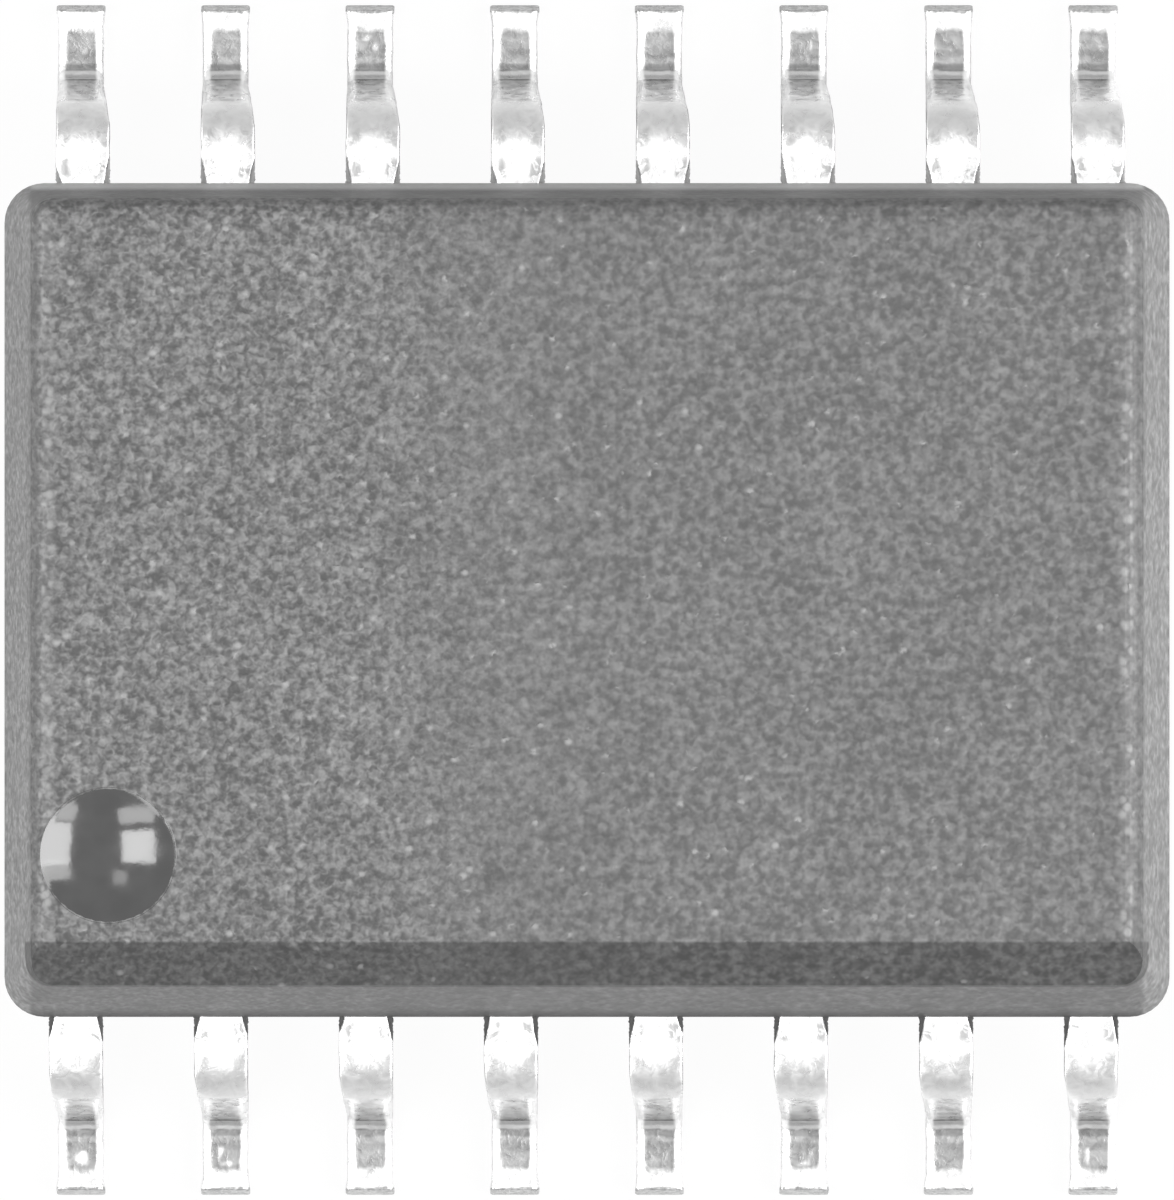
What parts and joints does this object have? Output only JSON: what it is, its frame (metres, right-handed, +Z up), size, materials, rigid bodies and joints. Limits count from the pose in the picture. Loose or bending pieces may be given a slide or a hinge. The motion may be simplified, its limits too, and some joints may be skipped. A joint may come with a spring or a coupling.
{
  "type": "small-outline integrated circuit package",
  "caption": "Moulded wide-body small-outline chip with gull-wing leads along both long sides, a round pin 1 dimple and a bevel along the pin 1 side.",
  "frame": {"origin": "on the board plane under the middle of the package, where the undersides of the feet lie", "axes": "+X along the rows of leads, +Y across them away from the pin 1 side, +Z up out of the marked face; pin 1 is at the -X -Y corner"},
  "size_m": [0.0102, 0.0104, 0.0025],
  "materials": {
    "moulding_compound": "fine spark-eroded grain",
    "tin_plate": "matt tin plating over stamped copper",
    "bare_copper": "stamped, bare",
    "die_adhesive": "cured silver-filled adhesive",
    "silicon": "polished",
    "gold_wire": "drawn, bright"
  },
  "bodies": {
    "root": {"mold_body": "moulding_compound", "lead_01": "tin_plate", "lead_02": "tin_plate", "lead_03": "tin_plate", "lead_04": "tin_plate", "lead_05": "tin_plate", "lead_06": "tin_plate", "lead_07": "tin_plate", "lead_08": "tin_plate", "lead_09": "tin_plate", "lead_10": "tin_plate", "lead_11": "tin_plate", "lead_12": "tin_plate", "lead_13": "tin_plate", "lead_14": "tin_plate", "lead_15": "tin_plate", "lead_16": "tin_plate", "die_paddle": "bare_copper", "die_attach": "die_adhesive", "die": "silicon", "bond_wire_01": "gold_wire", "bond_wire_02": "gold_wire", "bond_wire_03": "gold_wire", "bond_wire_04": "gold_wire", "bond_wire_05": "gold_wire", "bond_wire_06": "gold_wire", "bond_wire_07": "gold_wire", "bond_wire_08": "gold_wire", "bond_wire_09": "gold_wire", "bond_wire_10": "gold_wire", "bond_wire_11": "gold_wire", "bond_wire_12": "gold_wire", "bond_wire_13": "gold_wire", "bond_wire_14": "gold_wire", "bond_wire_15": "gold_wire", "bond_wire_16": "gold_wire"}
  },
  "joints": []
}
